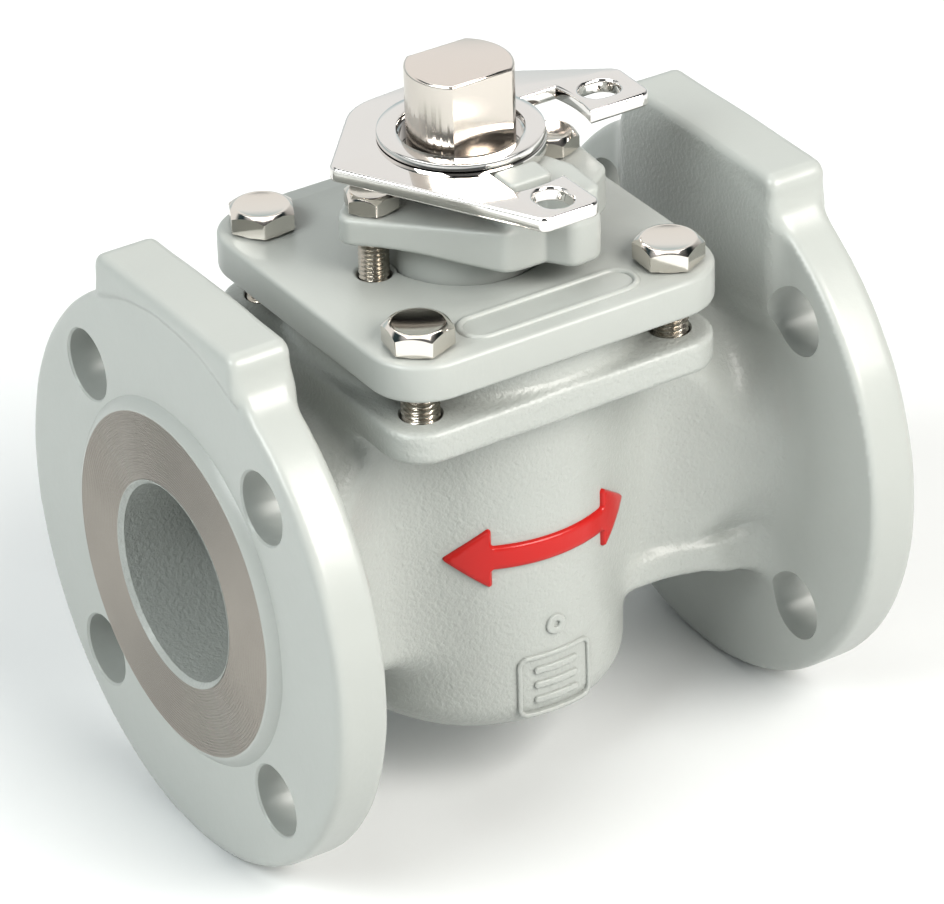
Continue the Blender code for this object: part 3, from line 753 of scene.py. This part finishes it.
def adjuster_field(x, y, z):
    """Three-lobed plate on a round nose, with the boss that carries the stop lug."""
    across = np.hypot(x, y)
    lobe, corner = 0.0076, 0.0040
    reach_out = ADJUSTER_BOLT_AT + (lobe - corner) * sqrt(2)
    outline = [(-reach_out, 0), (-0.0055, -0.0272), (0.0062, -0.0272), (0.0105, -0.0332),
               (0.0143, -0.0330), (0.0160, -0.0235), (0.0292, -0.0135), (0.0305, 0.0020),
               (0.0, reach_out)]
    shape = polygon(x, y, outline) - corner
    low = 0.0805 - 0.0044 * ease(x - y, -0.024, 0.036)
    plate_field = raised(shape, z, low, ADJUSTER_TOP, 0.0012)
    boss = [(-0.0032, -0.0190), (-0.0032, -0.0277), (0.0062, -0.0277), (0.0108, -0.0338),
            (0.0150, -0.0335), (0.0156, -0.0225), (0.0130, -0.0160)]
    boss_field = raised(polygon(x, y, boss) - 0.0030, z, 0.0765, COLLAR_LOW - 0.0004, 0.0014)
    wide = (NOTCH_OPEN + NOTCH_SHUT) / 2 - GAP
    lug = rectangle(x - (NOTCH_SHUT - NOTCH_OPEN) / 2, y + 0.0265, wide, 0.0043, 0.0014)
    lug_field = raised(lug, z, 0.0900, COLLAR_TOP, 0.0009)
    nose = raised(across - NOSE_R, z, NOSE_LOW, 0.0860, 0.0006)
    whole = blend(plate_field, boss_field, 0.0015)
    whole = blend(whole, nose, 0.0020)
    return blend(whole, lug_field, 0.0008)


def make_adjuster():
    wall = 0.0390
    adjuster = cast("adjuster_casting", adjuster_field, (-wall, -wall, NOSE_LOW),
                    (wall, wall, COLLAR_TOP), 0.00060, GREY, swell=0.00008, ripple=0.009)
    cutters = [bar("stem_hole", STEM_CLEAR_R, NOSE_LOW - PAST, ADJUSTER_TOP, flare=0.0005)]
    for i, at in enumerate(ADJUSTER_BOLTS):
        cutters.append(bar(f"adjuster_hole_{i}", ADJUSTER_BOLT_R + GAP, CAP_TOP, ADJUSTER_TOP,
                           at, 0.0003))
    combine(adjuster, cutters)
    return shade(adjuster, 40)


# ---- stop collar and its retainer ------------------------------------------------------
def wall_angle(offset, radius):
    return asin(offset / radius) * 180 / pi


def make_stop_collar():
    """Collar with a quarter-turn notch between its two slotted ears."""
    rim = rounded([(0.0400, -EAR_INNER, 0), (EAR_REACH + 0.0015, -EAR_INNER, 0.0030),
                   (EAR_REACH + 0.0020, 0.0070, 0.0040), (0.0140, 0.0310, 0.0200),
                   (-0.0150, 0.0285, 0.0160), (-0.0365, 0.0035, 0.0030),
                   (-0.0080, -EAR_REACH, 0.0030), (EAR_INNER, -EAR_REACH, 0.0030),
                   (EAR_INNER, -0.0400, 0)], 12)[1:-1]
    notch = arc(0, 0, NOTCH_R, wall_angle(EAR_INNER, NOTCH_R) - 90,
                -90 - wall_angle(NOTCH_OPEN, NOTCH_R), 12)
    notch += arc(0, 0, NOTCH_HUB_R, -90 - wall_angle(NOTCH_OPEN, NOTCH_HUB_R),
                 wall_angle(NOTCH_SHUT, NOTCH_HUB_R), 40)
    notch += arc(0, 0, NOTCH_R, wall_angle(NOTCH_SHUT, NOTCH_R),
                 -wall_angle(EAR_INNER, NOTCH_R), 12)
    flat = wall_angle(STEM_FLAT + GAP, STEM_R + GAP)
    hole = arc(0, 0, STEM_R + GAP, -flat, flat, 20)
    hole += arc(0, 0, STEM_R + GAP, 180 - flat, 180 + flat, 20)
    eyes = []
    for turn in (-90, 0):
        along = Vector((cos(radians(turn)), sin(radians(turn))))
        far, near = along * (EYE_AT + EYE_EXTRA), along * (EYE_AT - EYE_EXTRA)
        eyes.append(arc(*far, EYE_HALF, turn - 90, turn + 90, 20)
                    + arc(*near, EYE_HALF, turn + 90, turn + 270, 20))
    collar = plate("collar_plate", [rim + notch, hole, *eyes], COLLAR_LOW, COLLAR_TOP,
                   0.0008, POLISHED, steps=4)
    combine(collar, [bar("stem_recess", STEM_R + 0.0019, COLLAR_TOP - 0.0026, COLLAR_TOP, flare=0.0004)])
    return shade(collar, 30)


def make_retainer():
    inner, edge = 0.0160, 0.0006
    low, high = COLLAR_TOP + GAP, RING_TOP
    profile = [(inner, high - edge), (inner, low), (RING_R, low), (RING_R, high - edge),
               (RING_R - edge * 0.3, high - edge * 0.3), (RING_R - edge, high),
               (inner + edge, high), (inner + edge * 0.3, high - edge * 0.3)]
    return shade(turned("retainer_ring", profile, POLISHED, closed=True, steps=160), 30)


# ---- bolts -----------------------------------------------------------------------------
def threaded_shank(name, radius, pitch, low, high):
    """Shank with a real helical thread, closed at both ends."""
    columns, rows_per_turn, depth = 40, 7, pitch * 0.55
    flank, crest = 2.4, 0.15  # how steep the thread is, and how flat its top
    rows = int((high - low) / pitch * rows_per_turn)
    points = []
    for row in range(rows + 1):
        z = low + (high - low) * row / rows
        for i in range(columns):
            phase = (z / pitch - i / columns) % 1
            lift = min(max(flank * abs(phase - 0.5) - crest, 0), 1)
            r = radius - depth * (1 - lift)
            angle = 2 * pi * i / columns
            points.append((r * cos(angle), r * sin(angle), z))
    faces = [tuple(range(columns))[::-1], tuple(range(rows * columns, (rows + 1) * columns))]
    for row in range(rows):
        for i in range(columns):
            k = (i + 1) % columns
            low_row, high_row = row * columns, (row + 1) * columns
            faces.append((low_row + i, low_row + k, high_row + k, high_row + i))
    return add_piece(name, make_mesh(name, points, faces), BOLT, THREAD)


def hex_head(name, across, height):
    """Hexagon with a chamfered, slightly dished top and a washer face under it."""
    flat = across / 2
    prism = rounded([(*at, 0.0004) for at in around(2 * flat / sqrt(3), 6, 0)], 2)
    head = plate(name, [prism], 0, height, 0.0001, BOLT, THREAD)
    corner = flat * 1.16
    blank = turned(name + "_blank", [(0, height - 0.00045), (flat * 0.62, height - 0.00035),
                                     (flat * 0.80, height - 0.00005), (flat * 0.86, height),
                                     (flat * 0.93, height - 0.0002),
                                     (corner, height - 0.0015), (corner, 0.0005),
                                     (flat * 0.96, 0.0004), (flat * 0.96, 0), (0, 0)])
    return combine(head, [blank], "INTERSECT")


def make_bolt(name, node, radius, pitch, across, head_height, turn):
    """Bolt in the place of its CAD node, its head turned about its own axis."""
    low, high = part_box(node)
    seat = high[2] - head_height
    head = hex_head(name, across, head_height)
    shank = threaded_shank(name + "_shank", radius, pitch, low[2] - seat, 0.0010)
    head.location = shank.location = (0, 0, 0)
    for face in shank.data.polygons:
        face.material_index = 1
    combine(head, [shank], "UNION")
    head.data.transform(Matrix.Rotation(radians(turn), 4, "Z"))
    head.location = ((low[0] + high[0]) / 2, (low[1] + high[1]) / 2, seat)
    return shade(head, 30)


# ---- assembly --------------------------------------------------------------------------
def install(piece, body, slot, *nodes):
    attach(piece, body)
    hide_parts(*nodes)


def install_bolts(piece_name, node_name, turns, *sizes):
    """Bolts in the places of numbered CAD nodes, each head turned by its own degrees."""
    for i, turn in enumerate(turns, 1):
        node = f"{node_name}_{i}"
        install(make_bolt(f"{piece_name}_{i}", node, *sizes, turn), "valve", "bolt_steel", node)


def build_valve():
    install(make_body(), "valve", "grey_paint", "body")
    install(make_cap(), "valve", "grey_paint", "top_cap")
    install(make_adjuster(), "valve", "grey_paint", "adjuster")
    install(make_flow_arrow(), "valve", "grey_paint")
    install(make_marks(), "valve", "grey_paint")
    install(make_plug(), "plug_assembly", "polished_stainless", "plug")
    install(make_stop_collar(), "plug_assembly", "polished_stainless", "stop_collar")
    install(make_retainer(), "plug_assembly", "polished_stainless", "stop_collar_retainer")
    install_bolts("cap_screw", "cap_bolt", (12, 4, 20, 27), CAP_BOLT_R, CAP_BOLT_PITCH,
                  CAP_BOLT_ACROSS, CAP_BOLT_HEAD)
    install_bolts("adjusting_screw", "adjuster_bolt", (8, 22, 15), ADJUSTER_BOLT_R,
                  ADJUSTER_BOLT_PITCH, ADJUSTER_BOLT_ACROSS, ADJUSTER_BOLT_HEAD)


def dress_hidden_nodes():
    """Materials of the CAD pieces that are kept as they are."""
    for node, material in (("sleeve", PTFE), ("wedge_ring", PTFE), ("ptfe_diaphragm", PTFE),
                           ("metal_diaphragm", STRIP), ("thrust_collar", ALLOY),
                           ("grounding_spring", STRIP)):
        piece = frame["nodes"][node]
        if piece.material_slots:
            piece.material_slots[0].material = material
        else:
            piece.data.materials.append(material)


# ---- stage -----------------------------------------------------------------------------
def make_floor():
    half = 4
    mesh = make_mesh("floor", [(-half, -half, 0), (half, -half, 0), (half, half, 0),
                               (-half, half, 0)], [(0, 1, 2, 3)])
    floor = bpy.data.objects.new("floor", mesh)
    bpy.context.scene.collection.objects.link(floor)
    pale = Shader("pale_floor")
    pale.set(Base_Color=(0.73, 0.745, 0.745, 1), Roughness=0.9)
    mesh.materials.append(pale.material)


def make_lamp(name, azimuth, elevation, distance, size, power, colour):
    """Soft box that looks at the valve; azimuth 0 is in front, 90 on the right."""
    lamp = bpy.data.lights.new(name, "AREA")
    lamp.shape = "RECTANGLE"
    lamp.size, lamp.size_y = size
    lamp.energy = power
    lamp.color = colour
    holder = bpy.data.objects.new(name, lamp)
    bpy.context.scene.collection.objects.link(holder)
    a, e = radians(azimuth), radians(elevation)
    away = Vector((sin(a) * cos(e), -cos(a) * cos(e), sin(e)))
    holder.location = CENTRE + away * distance
    holder.rotation_euler = away.to_track_quat("Z", "Y").to_euler()


def make_world():
    """Studio walls: pale at eye level, bright behind and above, dim in front."""
    world = bpy.data.worlds.new("studio")
    bpy.context.scene.world = world
    world.use_nodes = True
    nodes, links = world.node_tree.nodes, world.node_tree.links

    def add(kind, **inputs):
        node = nodes.new(kind)
        for name, value in inputs.items():
            node.inputs[name.replace("_", " ")].default_value = value
        return node

    place = nodes.new("ShaderNodeTexCoord")
    split = nodes.new("ShaderNodeSeparateXYZ")
    links.new(place.outputs["Generated"], split.inputs["Vector"])
    upward = add("ShaderNodeMapRange", From_Min=-1)
    links.new(split.outputs["Z"], upward.inputs["Value"])
    height = upward.outputs["Result"]
    pale, teal, dark = (0.84, 0.87, 0.87), (0.55, 0.66, 0.68), (0.06, 0.09, 0.10)
    wall = colour_ramp(world.node_tree, height, (
        (0.50, pale), (0.55, pale), (0.60, teal), (0.68, (1.0, 1.0, 0.99)),
        (0.84, (1.0, 0.99, 0.97)), (0.875, dark), (0.925, dark), (0.96, (1.0, 1.0, 1.0))))
    eye_level = colour_ramp(world.node_tree, height, ((0.54, 1.0), (0.60, 0.0)))
    backward = add("ShaderNodeMapRange", From_Min=-0.10, From_Max=0.60, To_Min=0.18)
    links.new(split.outputs["Y"], backward.inputs["Value"])
    brighter = nodes.new("ShaderNodeMath")
    brighter.operation = "MAXIMUM"
    links.new(backward.outputs["Result"], brighter.inputs[0])
    links.new(eye_level, brighter.inputs[1])
    scale = nodes.new("ShaderNodeVectorMath")
    scale.operation = "SCALE"
    links.new(wall, scale.inputs[0])
    links.new(brighter.outputs["Value"], scale.inputs["Scale"])
    links.new(scale.outputs["Vector"], nodes["Background"].inputs["Color"])
    nodes["Background"].inputs["Strength"].default_value = 0.95


def make_camera():
    """Long lens, 32 degrees to the left of the front and 31 degrees above the floor."""
    azimuth, elevation, roll = radians(-31.96), radians(30.77), radians(-1.638)
    distance, lens = 1.4765, 219.22
    target = CENTRE + Vector((0, 0, 0.00886))
    camera = bpy.data.cameras.new("camera")
    camera.sensor_width = 36
    camera.lens = lens
    camera.shift_x, camera.shift_y = 0.00228, -0.00255
    holder = bpy.data.objects.new("camera", camera)
    bpy.context.scene.collection.objects.link(holder)
    away = Vector((sin(azimuth) * cos(elevation), -cos(azimuth) * cos(elevation), sin(elevation)))
    holder.location = target + away * distance
    turn = away.to_track_quat("Z", "Y").to_matrix() @ Matrix.Rotation(roll, 3, "Z")
    holder.rotation_euler = turn.to_euler()
    bpy.context.scene.camera = holder


build_valve()
dress_hidden_nodes()
make_floor()
make_world()
make_lamp("key", azimuth=20, elevation=38, distance=2.6, size=(1.6, 1.6), power=92,
          colour=(1.0, 0.965, 0.93))
make_lamp("left_fill", azimuth=-80, elevation=42, distance=2.6, size=(1.6, 1.2), power=52,
          colour=(0.97, 1.0, 1.0))
make_lamp("top", azimuth=150, elevation=72, distance=2.4, size=(1.6, 1.6), power=14,
          colour=(1.0, 0.99, 0.97))
display = bpy.context.scene.view_settings
display.view_transform = "Standard"  # keeps the contrast of gloss paint and polished steel
display.gamma = 0.84
make_camera()
